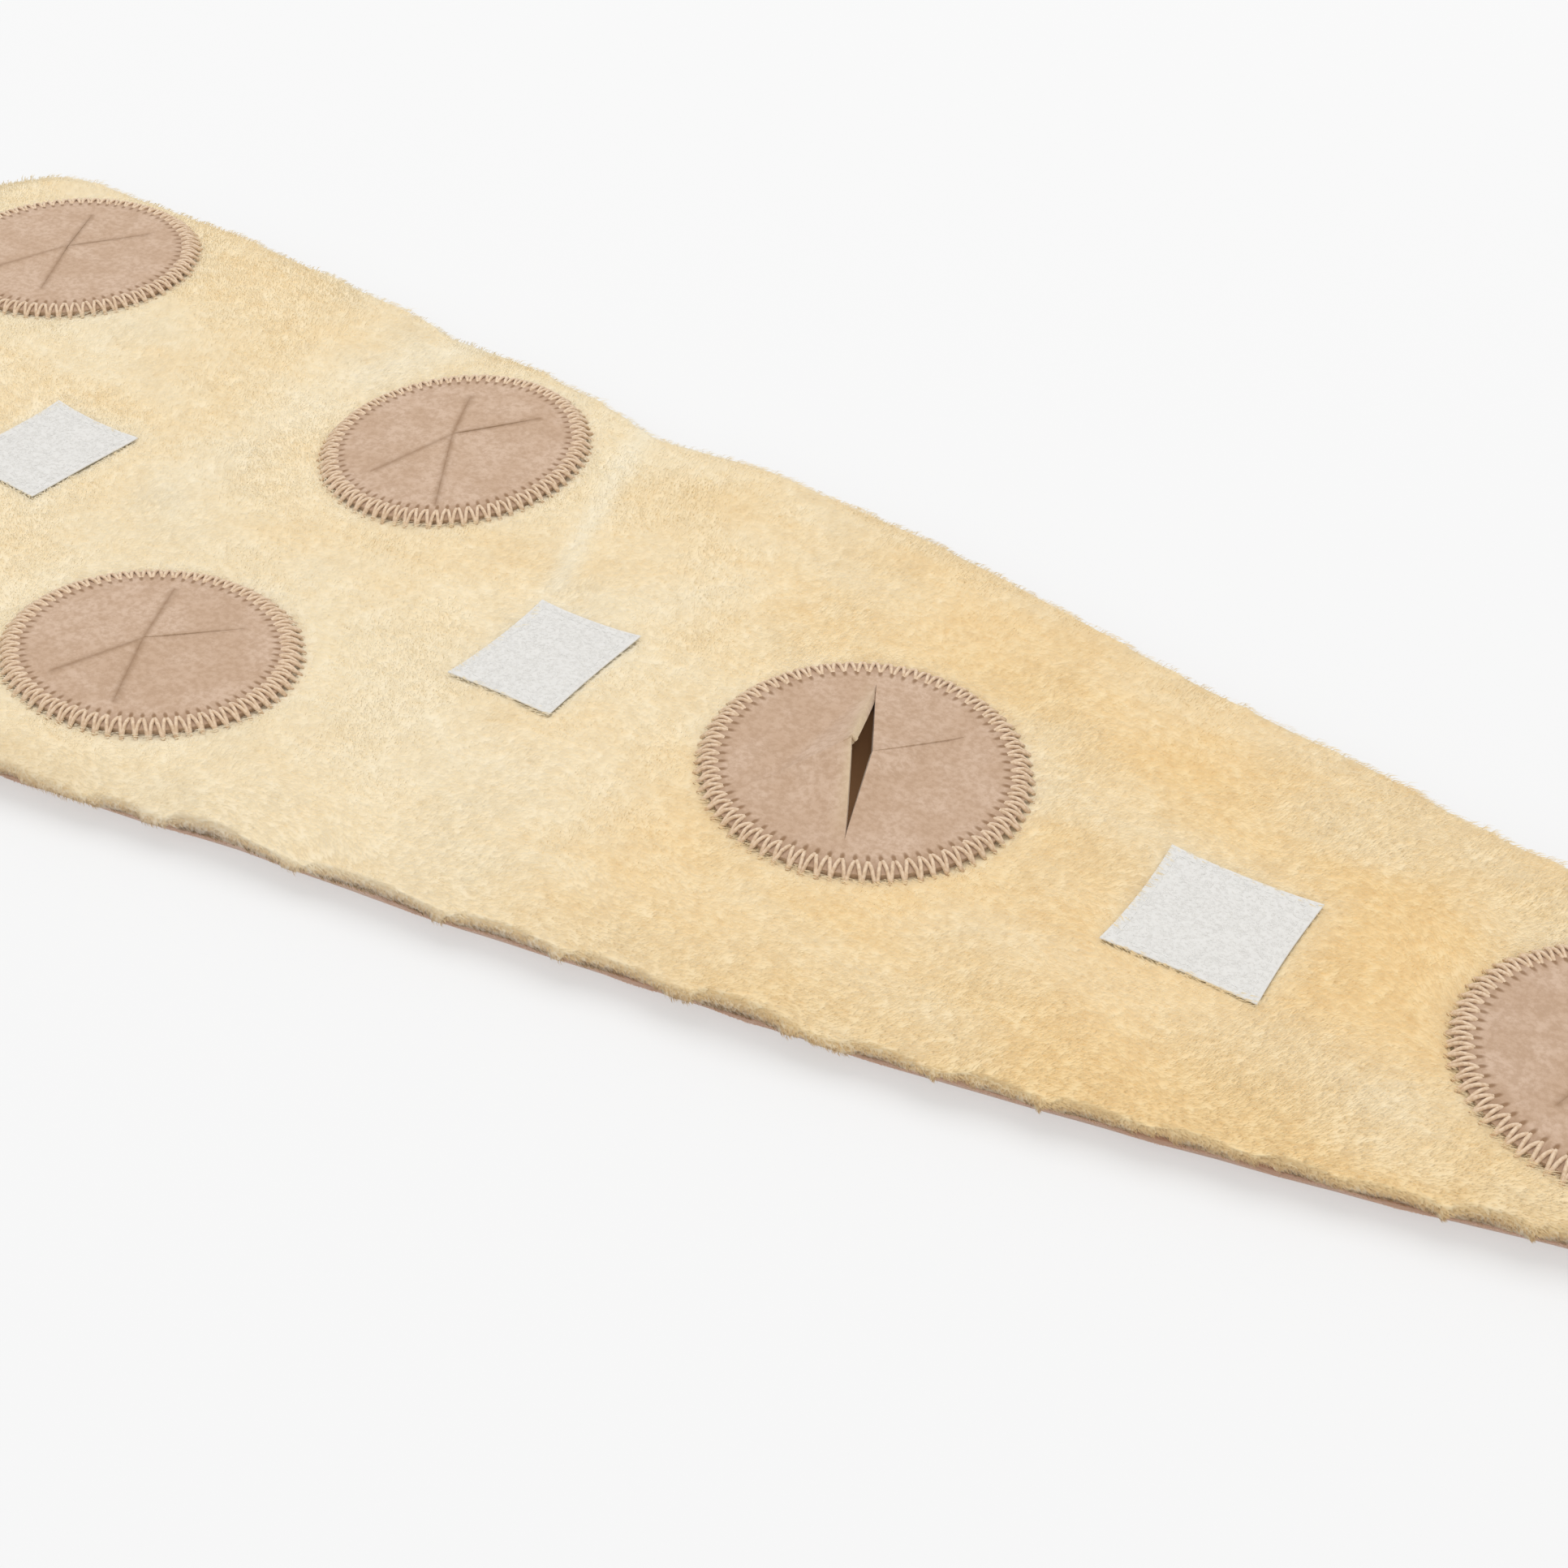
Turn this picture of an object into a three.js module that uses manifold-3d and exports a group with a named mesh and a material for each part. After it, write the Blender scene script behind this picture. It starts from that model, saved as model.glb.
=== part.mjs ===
// A croissant snuffle toy for pets, unrolled and lying flat: a padded plush triangle that
// would be rolled up from its wide end, six slit felt discs over treat pockets, and three
// squares of hook-and-loop tape that hold it rolled.
// Millimetres, +Z up. The origin is on the surface under the middle of the toy's box.
// +X runs along the toy to its narrow tip, and +Y across it to its far side.
import * as THREE from "three";
import { mergeVertices } from "three/addons/utils/BufferGeometryUtils.js";
import Module from "manifold-3d";

const wasm = await Module();
wasm.setup();
const { lerp, degToRad, clamp } = THREE.MathUtils;

// Driving dimensions
const LENGTH = 680; // wide end to tip
const WIDTH = 266; // at the wide end
const THICKNESS = 11.5; // padded body, pile included, away from its humps
const TAPE = 37; // hook-and-loop tape, across its width
const GAP = 0.3; // air between the two panels
const SEAT = 0.5; // air under a felt disc or a tape square, which lies on the soft top

// The padded body's section at its edge
const EDGE_ROLL = 12; // how far in from the edge the top starts to round over
const BULGE = 6.6; // height at which the edge reaches furthest out
const SEAM = 4; // height of the seam between the face and the back
const BACK_SHEET = 2.2; // plush of the back panel
const CORNER = 28; // radius of the two corners of the wide end
const CORNER_LEAN = degToRad(9); // taper of the sides beside those corners
const TIP = 16; // radius of the blunt tip
const TIP_LEAN = degToRad(19); // taper of the sides beside the tip

const CORNER_END = -LENGTH / 2 + CORNER * (1 + Math.sin(CORNER_LEAN));
const TIP_START = LENGTH / 2 - TIP * (1 - Math.sin(TIP_LEAN));

// Distance from the long axis to each edge, between the corners and the tip
const EDGES = [
  { x: CORNER_END, far: WIDTH / 2, near: WIDTH / 2 },
  { x: -240, far: 129, near: 120 },
  { x: -171, far: 120.2, near: 107 },
  { x: -126, far: 114, near: 99.5 },
  { x: -92, far: 107.5, near: 95 },
  { x: -80, far: 104, near: 92.5 },
  { x: -66, far: 104.4, near: 90.8 },
  { x: -20, far: 102, near: 86.2 },
  { x: 30, far: 93.6, near: 79 },
  { x: 82, far: 82.2, near: 72 },
  { x: 135, far: 72.6, near: 62.3 },
  { x: 185, far: 61.6, near: 52 },
  { x: 217, far: 54, near: 44 },
  { x: 262, far: 39.5, near: 33.5 },
  { x: 300, far: 26, near: 23 },
  { x: TIP_START, far: TIP * Math.cos(TIP_LEAN), near: TIP * Math.cos(TIP_LEAN) },
];

// Soft humps and hollows of the padding: where, how high and how wide
const PADDING = [
  { x: 10, y: 34, rise: 2.2, reach: 62 },
  { x: 96, y: 30, rise: -1.1, reach: 46 },
  { x: 60, y: -62, rise: 0.8, reach: 44 },
  { x: -128, y: -92, rise: 2, reach: 50 },
  { x: -200, y: 0, rise: -1, reach: 70 },
  { x: -92, y: 10, rise: -1.2, reach: 40 },
  { x: 262, y: 4, rise: 1.6, reach: 52 },
  { x: 175, y: 2, rise: -0.9, reach: 34 },
  { x: -300, y: 20, rise: 1.2, reach: 60 },
];

// Creases left by rolling, each a shallow trough along a line
const CREASES = [
  { from: [-88, 112], to: [-61, 24], deep: 1.6, wide: 9 },
  { from: [-157, 124], to: [-167, -14], deep: 1.3, wide: 11 },
];

// Felt discs, each drawn a little out of round by its sewing: size along the toy and across
// it, how far the crossing point of the two slits sits off the middle, and the four cuts out
// from that point, with their directions in degrees from +X and their lengths
const FELT = 1.8;
const SLIT = 50; // each cut of the open pocket, end to end
const KERF = 0.8; // width of a cut where the two cross
const FLAP_TIP = 0.6; // radius of the point of each flap
const DISCS = [
  {
    name: "felt_disc_tip", x: 216.8, y: 4, along: 72, across: 72, offX: -3.4, offY: 1.6, lift: 0,
    rays: [52, 113, 251, 296], cuts: [25, 24, 23, 26],
  },
  {
    name: "felt_disc_middle", x: 40.1, y: 2.7, along: 74, across: 75, offX: -1.4, offY: 0.1, lift: 7.5,
    rays: [52, 112, 232, 292], cuts: [25, 25, 25, 25],
  },
  {
    name: "felt_disc_far", x: -120.7, y: 64, along: 67, across: 75, offX: -2.8, offY: 2.6, lift: 0,
    rays: [53, 113, 255, 299], cuts: [25, 20.5, 27, 34.5],
  },
  {
    name: "felt_disc_near", x: -125.2, y: -50.5, along: 72, across: 64, offX: -2.8, offY: 1, lift: 0,
    rays: [45, 113, 249, 297], cuts: [24.6, 22.2, 24.7, 26],
  },
  {
    name: "felt_disc_wide_far", x: -281, y: 87, along: 73, across: 73, offX: -2.8, offY: 2, lift: 0,
    rays: [54, 114, 250, 297], cuts: [25, 22, 25, 28],
  },
  {
    name: "felt_disc_wide_near", x: -282, y: -82, along: 73, across: 72, offX: -2.5, offY: 1.5, lift: 0,
    rays: [50, 114, 250, 297], cuts: [25, 22, 25, 28],
  },
];
const DRAW_BACK = 4; // how far the lifted flaps of the open pocket pull back
const PUSH_ASIDE = 3; // how far the flaps across from them are pushed aside
const POCKET = { long: 42, across: 32, deep: 6.8 }; // hollow under the open slits

// Squares of tape: where, size along the toy, size across it, turn in degrees, and the air
// under it, more for the middle one, which spans the foot of a crease
const TAPE_SHEET = 1.6;
const SQUARES = [
  { name: "tape_square_tip", x: 127.3, y: -1, along: 36, across: TAPE, turn: -0.8, air: SEAT },
  { name: "tape_square_middle", x: -45.4, y: -1.3, along: 30, across: TAPE, turn: -2, air: SEAT + 0.4 },
  { name: "tape_square_wide", x: -211, y: 3.5, along: 31, across: TAPE, turn: -4.4, air: SEAT },
];

// How finely the faceted solids follow their shapes
const STEPS_ALONG = 60;
const STEPS_ACROSS = 14;
const CORNER_STEPS = 4;
const FLAP_STEP = 12; // degrees
const SQUARE_STEPS = 6;

// A value of a table's column between its rows, with no kink at a row.
function alongTable(rows, x, column) {
  const last = rows.length - 1;
  const found = rows.findIndex((row, i) => i < last && x <= rows[i + 1].x);
  const i = found < 0 ? last - 1 : found;
  const slope = (a, b) => (rows[b][column] - rows[a][column]) / (rows[b].x - rows[a].x);
  const slopeAt = (k) => slope(Math.max(k - 1, 0), Math.min(k + 1, last));
  const step = rows[i + 1].x - rows[i].x;
  const t = (x - rows[i].x) / step;
  const rise = rows[i + 1][column] - rows[i][column];
  const bend = (1 - t) * (slopeAt(i) * step - rise) - t * (slopeAt(i + 1) * step - rise);
  return rows[i][column] + t * rise + t * (1 - t) * bend;
}

// Height of the padded body's top, away from its edge.
function topHeight(x, y) {
  const puff = PADDING.reduce((sum, hump) => {
    const away = Math.hypot(x - hump.x, y - hump.y) / hump.reach;
    return sum + hump.rise * Math.exp(-away * away);
  }, 0);
  const trough = CREASES.reduce((sum, crease) => {
    const away = distanceToLine(x, y, crease.from, crease.to) / crease.wide;
    return sum + crease.deep * Math.exp(-away * away);
  }, 0);
  return THICKNESS + puff - trough;
}

function distanceToLine(x, y, [x0, y0], [x1, y1]) {
  const dx = x1 - x0;
  const dy = y1 - y0;
  const t = clamp(((x - x0) * dx + (y - y0) * dy) / (dx * dx + dy * dy), 0, 1);
  return Math.hypot(x - x0 - t * dx, y - y0 - t * dy);
}

// Points of an arc, its angles in radians; the last is left out, where the next stretch starts.
function arc(x, y, radius, from, to, steps) {
  return Array.from({ length: steps }, (_, i) => {
    const angle = lerp(from, to, i / steps);
    return new THREE.Vector2(x + radius * Math.cos(angle), y + radius * Math.sin(angle));
  });
}

// The edge's four stretches, each running on from the one before, anticlockwise from above.
function outlineStretches() {
  const first = EDGES[0];
  const last = EDGES[EDGES.length - 1];
  const cornerX = -LENGTH / 2 + CORNER;
  const farY = first.far - CORNER * Math.cos(CORNER_LEAN);
  const nearY = -first.near + CORNER * Math.cos(CORNER_LEAN);
  const quarter = Math.PI / 2 - CORNER_LEAN;
  const middle = (Math.PI + quarter) / 2; // halfway round the far corner
  const sideSteps = STEPS_ALONG - CORNER_STEPS;
  const side = (column, sign) =>
    Array.from({ length: sideSteps }, (_, i) => {
      const x = lerp(first.x, last.x, i / sideSteps);
      return new THREE.Vector2(x, sign * alongTable(EDGES, x, column));
    });
  const tipX = LENGTH / 2 - TIP;
  const tipTurn = Math.PI / 2 - TIP_LEAN;
  const near = [
    ...arc(cornerX, nearY, CORNER, -middle, -quarter, CORNER_STEPS),
    ...side("near", -1),
  ];
  const tip = arc(tipX, 0, TIP, -tipTurn, tipTurn, STEPS_ACROSS);
  const farBack = [
    ...arc(cornerX, farY, CORNER, middle, quarter, CORNER_STEPS),
    ...side("far", 1),
    new THREE.Vector2(tipX + TIP * Math.cos(tipTurn), TIP * Math.sin(tipTurn)),
  ].reverse();
  const end = [
    ...arc(cornerX, farY, CORNER, middle, Math.PI, CORNER_STEPS),
    ...straight(farY, nearY, STEPS_ACROSS - 2 * CORNER_STEPS),
    ...arc(cornerX, nearY, CORNER, -Math.PI, -middle, CORNER_STEPS),
  ];
  return [near, tip, farBack.slice(0, -1), end];
}

// Points down the straight end of the toy, the last left out.
function straight(fromY, toY, steps) {
  return Array.from({ length: steps }, (_, i) => {
    return new THREE.Vector2(-LENGTH / 2, lerp(fromY, toY, i / steps));
  });
}

const OUTLINE = outlineStretches().flat();

// The edge moved inwards by a distance, at a height that may depend on the place.
function ring(inset, height) {
  const count = OUTLINE.length;
  return OUTLINE.map((point, i) => {
    const along = OUTLINE[(i + 1) % count].clone().sub(OUTLINE[(i + count - 1) % count]).normalize();
    const x = point.x - along.y * inset;
    const y = point.y + along.x * inset;
    return new THREE.Vector3(x, y, height(x, y));
  });
}

// Adds the faces between two rows of points. Seen from outside, b is to the left of a.
function band(faces, a, b) {
  for (let i = 0; i + 1 < a.length; i++) {
    faces.push(a[i], a[i + 1], b[i + 1], a[i], b[i + 1], b[i]);
  }
}

function bandRound(faces, a, b) {
  band(faces, [...a, a[0]], [...b, b[0]]);
}

// Adds a flat face inside a ring, looking up or down.
function flatFace(faces, points, up) {
  for (const [a, b, c] of THREE.ShapeUtils.triangulateShape(points, [])) {
    faces.push(points[a], points[up ? b : c], points[up ? c : b]);
  }
}

// Adds a domed face inside a ring, its rows running along the toy from the near edge to the far.
function domedFace(faces, points, height) {
  const wrap = (i) => points[i % points.length];
  const near = (i) => wrap(i);
  const tip = (j) => wrap(STEPS_ALONG + j);
  const far = (i) => wrap(2 * STEPS_ALONG + STEPS_ACROSS - i);
  const end = (j) => wrap(points.length - j);
  const inside = (i, j) => {
    const u = i / STEPS_ALONG;
    const v = j / STEPS_ACROSS;
    const between = (key) =>
      lerp(near(i)[key], far(i)[key], v) + lerp(end(j)[key], tip(j)[key], u) -
      lerp(lerp(end(0)[key], tip(0)[key], u), lerp(end(STEPS_ACROSS)[key], tip(STEPS_ACROSS)[key], u), v);
    const x = between("x");
    const y = between("y");
    return new THREE.Vector3(x, y, height(x, y));
  };
  const row = (j) =>
    Array.from({ length: STEPS_ALONG + 1 }, (_, i) => {
      if (j === 0) return near(i);
      if (j === STEPS_ACROSS) return far(i);
      if (i === 0) return end(j);
      return i === STEPS_ALONG ? tip(j) : inside(i, j);
    });
  for (let j = 0; j < STEPS_ACROSS; j++) {
    band(faces, row(j), row(j + 1));
  }
}

// A geometry from its faces, three corners each.
function geometryOf(faces) {
  const geometry = new THREE.BufferGeometry().setFromPoints(faces);
  geometry.computeVertexNormals();
  return geometry;
}

function toManifold(geometry) {
  const bare = geometry.clone();
  bare.deleteAttribute("normal");
  bare.deleteAttribute("uv");
  const merged = mergeVertices(bare, 1e-3);
  const mesh = new wasm.Mesh({
    numProp: 3,
    vertProperties: merged.attributes.position.array,
    triVerts: new Uint32Array(merged.index.array),
  });
  return new wasm.Manifold(mesh);
}

function fromManifold(solid) {
  const mesh = solid.getMesh();
  const geometry = new THREE.BufferGeometry();
  geometry.setAttribute("position", new THREE.BufferAttribute(mesh.vertProperties, 3));
  geometry.setIndex(new THREE.BufferAttribute(mesh.triVerts, 1));
  geometry.computeVertexNormals();
  return geometry;
}

// The back panel: flat on the surface, its rim turned up to the seam.
function backPanel() {
  const faces = [];
  const rings = [
    ring(6.2, () => 0),
    ring(3.1, () => 0.7),
    ring(1, () => SEAM - GAP / 2),
    ring(3, () => SEAM - GAP / 2),
    ring(6, () => BACK_SHEET),
  ];
  flatFace(faces, rings[0], false);
  rings.slice(1).forEach((next, i) => bandRound(faces, rings[i], next));
  flatFace(faces, rings[rings.length - 1], true);
  return geometryOf(faces);
}

// The face panel with its padding, one filled solid with the pocket's hollow in its top.
function facePanel() {
  const rolled = (inset) => {
    const out = 1 - inset / EDGE_ROLL;
    return (x, y) => BULGE + (topHeight(x, y) - BULGE) * Math.sqrt(1 - out * out);
  };
  const faces = [];
  const rings = [
    ring(6.3, () => BACK_SHEET + GAP),
    ring(3.2, () => SEAM + GAP / 2),
    ring(1, () => SEAM + GAP / 2),
    ring(0, () => BULGE),
    ...[0.7, 2.5, 5.2, 8.4, EDGE_ROLL].map((inset) => ring(inset, rolled(inset))),
  ];
  flatFace(faces, rings[0], false);
  rings.slice(1).forEach((next, i) => bandRound(faces, rings[i], next));
  domedFace(faces, rings[rings.length - 1], topHeight);
  return fromManifold(toManifold(geometryOf(faces)).subtract(toManifold(pocketHollow())));
}

// A rounded hollow centred on the open slits, long in the direction of the longer gape.
function pocketHollow() {
  const open = DISCS.find((disc) => disc.lift > 0);
  const x = open.x + open.offX;
  const y = open.y + open.offY;
  const hollow = new THREE.SphereGeometry(1, 20, 10);
  hollow.scale(POCKET.long / 2, POCKET.across / 2, POCKET.deep);
  hollow.rotateZ(degToRad(open.rays[1]));
  hollow.translate(x, y, topHeight(x, y) + GAP);
  return hollow;
}

// A felt disc, cut by two crossed slits into four flaps.
function feltDisc(disc) {
  const faces = [];
  const slitRings = disc.lift > 0 ? 4 : 2;
  disc.rays.forEach((from, k) => {
    const to = k < 3 ? disc.rays[k + 1] : disc.rays[0] + 360;
    addFlap(faces, disc, from, to, k, slitRings);
  });
  return geometryOf(faces);
}

// One flap, in rows from the crossing point out to the disc's edge, free beside the slits.
function addFlap(faces, disc, from, to, place, slitRings) {
  const steps = Math.round((to - from) / FLAP_STEP);
  const rows = Array.from({ length: slitRings + 2 }, (_, k) => {
    return Array.from({ length: steps + 1 }, (_, i) => {
      return flapPoint(disc, from, to, i / steps, place, k / slitRings);
    });
  });
  const under = rows.map((row) => row.map((point) => point.clone().setZ(point.z - FELT)));
  const last = rows.length - 1;
  for (let k = 0; k < last; k++) {
    band(faces, rows[k + 1], rows[k]);
    band(faces, under[k], under[k + 1]);
  }
  const column = (grid, i) => grid.slice(0, slitRings + 1).map((row) => row[i]);
  band(faces, under[last], rows[last]);
  band(faces, rows[0], under[0]);
  band(faces, column(under, 0), column(rows, 0));
  band(faces, column(rows, steps), column(under, steps));
}

// A point of a flap's upper side; reach is 0 at the crossing, 1 at the cuts' ends, and more
// at the disc's edge. Half a cut's width moves the flap out of the crossing.
function flapPoint(disc, from, to, across, place, reach) {
  const angle = degToRad(lerp(from, to, across));
  const bisector = degToRad(from + to) / 2;
  const half = degToRad(to - from) / 2;
  const cut = lerp(disc.cuts[place], disc.cuts[(place + 1) % 4], across);
  const radius = reach > 1 ? edgeDistance(disc, angle) : lerp(FLAP_TIP, cut, reach);
  const foldAt = ((SLIT / 2) * Math.cos(half)) / Math.cos(angle - bisector);
  const bent = Math.max(0, 1 - radius / foldAt);
  const lifted = place === 1 || place === 2;
  const apart = (KERF / 2 / Math.sin(half)) * Math.max(0, 1 - reach);
  const aside = disc.lift > 0 ? bent * (lifted ? -DRAW_BACK : PUSH_ASIDE) : 0;
  const sideways = degToRad(disc.rays[1] - 90);
  const x =
    disc.x + disc.offX + radius * Math.cos(angle) +
    apart * Math.cos(bisector) + aside * Math.cos(sideways);
  const y =
    disc.y + disc.offY + radius * Math.sin(angle) +
    apart * Math.sin(bisector) + aside * Math.sin(sideways);
  return new THREE.Vector3(x, y, topHeight(x, y) + SEAT + FELT + (lifted ? disc.lift * bent : 0));
}

// Distance from the crossing point to the disc's edge in a direction.
function edgeDistance(disc, angle) {
  const off = new THREE.Vector2((2 * disc.offX) / disc.along, (2 * disc.offY) / disc.across);
  const ray = new THREE.Vector2((2 * Math.cos(angle)) / disc.along, (2 * Math.sin(angle)) / disc.across);
  const toward = off.dot(ray);
  const spare = ray.lengthSq() * (1 - off.lengthSq());
  return (Math.sqrt(toward * toward + spare) - toward) / ray.lengthSq();
}

// A square of tape, its sides drawn in a little between the corners.
function tapeSquare(square) {
  const drawnIn = 0.7;
  const turn = degToRad(square.turn);
  const rows = Array.from({ length: SQUARE_STEPS + 1 }, (_, j) => {
    return Array.from({ length: SQUARE_STEPS + 1 }, (_, i) => {
      const u = (2 * i) / SQUARE_STEPS - 1;
      const v = (2 * j) / SQUARE_STEPS - 1;
      const along = u * (square.along / 2 - drawnIn * (1 - v * v));
      const across = v * (square.across / 2 - drawnIn * (1 - u * u));
      const x = square.x + along * Math.cos(turn) - across * Math.sin(turn);
      const y = square.y + along * Math.sin(turn) + across * Math.cos(turn);
      return new THREE.Vector3(x, y, topHeight(x, y) + square.air + TAPE_SHEET);
    });
  });
  const under = rows.map((row) => row.map((point) => point.clone().setZ(point.z - TAPE_SHEET)));
  const column = (grid, i) => grid.map((row) => row[i]);
  const faces = [];
  for (let j = 0; j < SQUARE_STEPS; j++) {
    band(faces, rows[j], rows[j + 1]);
    band(faces, under[j + 1], under[j]);
  }
  band(faces, under[0], rows[0]);
  band(faces, rows[SQUARE_STEPS], under[SQUARE_STEPS]);
  band(faces, column(rows, 0), column(under, 0));
  band(faces, column(under, SQUARE_STEPS), column(rows, SQUARE_STEPS));
  return geometryOf(faces);
}

const cloth = (color, roughness) => new THREE.MeshStandardMaterial({ color, roughness, metalness: 0 });
const palePlush = cloth(0xecd9b8, 0.95);
const tanPlush = cloth(0xc79a72, 0.95);
const tanFelt = cloth(0xcbae94, 1);
const whiteTape = cloth(0xe4e2de, 0.9);

const toy = new THREE.Group();

function add(name, geometry, material) {
  const mesh = new THREE.Mesh(geometry, material);
  mesh.name = name;
  toy.add(mesh);
}

add("face_panel", facePanel(), palePlush);
add("back_panel", backPanel(), tanPlush);
DISCS.forEach((disc) => add(disc.name, feltDisc(disc), tanFelt));
SQUARES.forEach((square) => add(square.name, tapeSquare(square), whiteTape));

export default toy;
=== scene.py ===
# A croissant snuffle toy for pets, unrolled and lying flat: a padded triangle of short-pile
# plush with a tan plush back, six slit felt discs overcast onto it, and three squares of
# hook-and-loop tape. Sizes below are in millimetres, and the meshes are in metres.
import math

import bmesh
import bpy
import numpy as np
from mathutils import Matrix, Vector
from mathutils.bvhtree import BVHTree


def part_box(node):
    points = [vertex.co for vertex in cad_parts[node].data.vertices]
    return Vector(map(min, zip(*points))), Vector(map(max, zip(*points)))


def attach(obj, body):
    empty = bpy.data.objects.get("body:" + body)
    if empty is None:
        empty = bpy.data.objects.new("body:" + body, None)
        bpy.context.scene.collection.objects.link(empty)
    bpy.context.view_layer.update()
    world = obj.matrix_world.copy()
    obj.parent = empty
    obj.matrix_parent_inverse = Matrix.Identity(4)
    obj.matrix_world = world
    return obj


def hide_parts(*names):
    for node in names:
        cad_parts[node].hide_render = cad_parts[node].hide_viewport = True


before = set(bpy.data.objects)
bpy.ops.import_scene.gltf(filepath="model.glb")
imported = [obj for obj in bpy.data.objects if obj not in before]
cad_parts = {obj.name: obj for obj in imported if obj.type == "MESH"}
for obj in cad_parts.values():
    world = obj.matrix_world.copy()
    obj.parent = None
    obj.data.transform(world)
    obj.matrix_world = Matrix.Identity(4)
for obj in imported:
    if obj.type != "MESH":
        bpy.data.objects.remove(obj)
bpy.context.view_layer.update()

MM = 0.001
SEED = 20

# Sizes of the padded body and of its nap
PILE = 2.2  # nap of the face, which leans and stands 0.6 of this over its ground cloth
PUFF_CAP = 1.8  # how far the padding may swell the cloth
PUFF_STEPS = 20  # frames of the cloth simulation
VOXEL = 4.0
FLAT_BELOW = 4.6  # cloth under this height stays as it lies on the back panel
TOP_ABOVE = 8.0  # cloth over this height is on the upper side, where things are sewn on
SUNK = 0.35  # how far the cloth is pulled down under a sewn-on piece
NAP_FIBRES = 275000
NAP_LENGTH = 2.8
NAP_WIDTH = 0.3
NAP_LEAN = 1.14  # radians from upright
RIM_FIBRES = 26000  # short nap of the back panel's rim
BACK_TOP = 2.2  # height of the back panel's flat inner side
RIM_DRAWN_IN = 1.5  # how far the rim sits inside the CAD's edge

# Felt discs, with how far the crossing point of the two slits sits off the middle, and the
# four cuts out from that point: directions in degrees from +X, lengths, and painted shade of each
FELT = 1.8
AIR = 0.35  # under a disc that lies flat
EDGE_PRESSED = 0.9  # how far the stitching presses a disc's edge down
EDGE_BAND = 6.0  # how far in from the edge that reaches
SLIT = 50.0
STRETCHED = 1.13  # how much longer the open pocket's steep slit is
DRAW_BACK = 2.6  # how far the lifted flaps of the open pocket pull back
PUSH_ASIDE = 2.6  # how far the flaps across from them are pushed aside
DISCS = [
    {
        "name": "felt_disc_tip", "off": (-3.4, 1.6), "lift": 0,
        "rays": (52, 113, 251, 296), "cuts": (25, 24, 23, 26),
        "shades": (0.5, 0.65, 0.65, 0.65),
    },
    {
        "name": "felt_disc_middle", "off": (-1.4, 0.7), "lift": 6.4,
        "rays": (52, 112, 232, 292), "cuts": (25, 25, 25, 25),
        "shades": (0.15, 0, 0.1, 0),
    },
    {
        "name": "felt_disc_far", "off": (-2.8, 2.6), "lift": 0,
        "rays": (53, 113, 255, 299), "cuts": (25, 20.5, 27, 34.5),
        "shades": (0.55, 0.65, 0.65, 0.65),
    },
    {
        "name": "felt_disc_near", "off": (-2.8, 1.0), "lift": 0,
        "rays": (45, 113, 249, 297), "cuts": (24.6, 22.2, 24.7, 26),
        "shades": (0.25, 0.7, 0.7, 0.7),
    },
    {
        "name": "felt_disc_wide_far", "off": (-2.8, 2.0), "lift": 0,
        "rays": (54, 114, 250, 297), "cuts": (25, 22, 25, 28),
        "shades": (0.5, 0.65, 0.65, 0.65),
    },
    {
        "name": "felt_disc_wide_near", "off": (-2.5, 1.5), "lift": 0,
        "rays": (50, 114, 250, 297), "cuts": (25, 22, 25, 28),
        "shades": (0.5, 0.65, 0.65, 0.65),
    },
]

# Squares of hook-and-loop tape: size along the toy, size across it, and turn in degrees
TAPE_SHEET = 0.5
TAPE_TOP = 0.85  # height of the tape's face over its bed
TAPE_INSET = 2.4  # stitch line, in from the tape's edge
TAPE_STITCH = 2.6
LOOPS = 2.4  # brushed loops to a square millimetre
SQUARES = [
    {"name": "tape_square_tip", "along": 36, "across": 37, "turn": -0.8},
    {"name": "tape_square_middle", "along": 30, "across": 37, "turn": -2},
    {"name": "tape_square_wide", "along": 31, "across": 37, "turn": -4.4},
]

# Creases left by rolling, and other patches, each painted paler: two ends, how wide, and how pale
CREASES = [
    ((-88, 112), (-61, 24), 3.8, 0.72),
    ((-151, 112), (-165, 78), 8, 0.6),
    ((-165, 78), (-171, 10), 11, 0.45),
    ((-48, 17), (-20, 46), 8, 0.35),
    ((-88, -50), (-8, -36), 20, 0.28),
    ((82, -32), (175, -28), 14, 0.3),
]

# Overcast stitching round a disc
STITCHES = 73
STITCH_IN = 4.9  # needle holes inside the felt's edge
STITCH_OUT = 1.7  # needle holes outside it
INNER_HOLES = 33.1  # ring of the inner holes, as the felt's material sees every disc
THREAD = 1.0
TAPE_THREAD = 0.26


def from_hex(colour):
    """An sRGB hex colour as linear red, green, blue and alpha."""
    parts = [int(colour[i : i + 2], 16) / 255 for i in (1, 3, 5)]
    return [c / 12.92 if c <= 0.04045 else ((c + 0.055) / 1.055) ** 2.4 for c in parts] + [1.0]


def add_node(tree, kind, settings=None, **inputs):
    """Adds a node with its settings; an input is a value, or the output that feeds it."""
    node = tree.nodes.new(kind)
    for name, value in (settings or {}).items():
        setattr(node, name, value)
    for socket in node.inputs:
        value = inputs.pop(socket.identifier.replace(" ", "_"), None)
        if isinstance(value, bpy.types.NodeSocket):
            tree.links.new(value, socket)
        elif value is not None:
            socket.default_value = value
    if inputs:
        raise ValueError(f"{kind} has no inputs named {sorted(inputs)}")
    return node


def new_material(name):
    material = bpy.data.materials.new(name)
    material.use_nodes = True
    material.node_tree.nodes.clear()
    return material, material.node_tree


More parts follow.
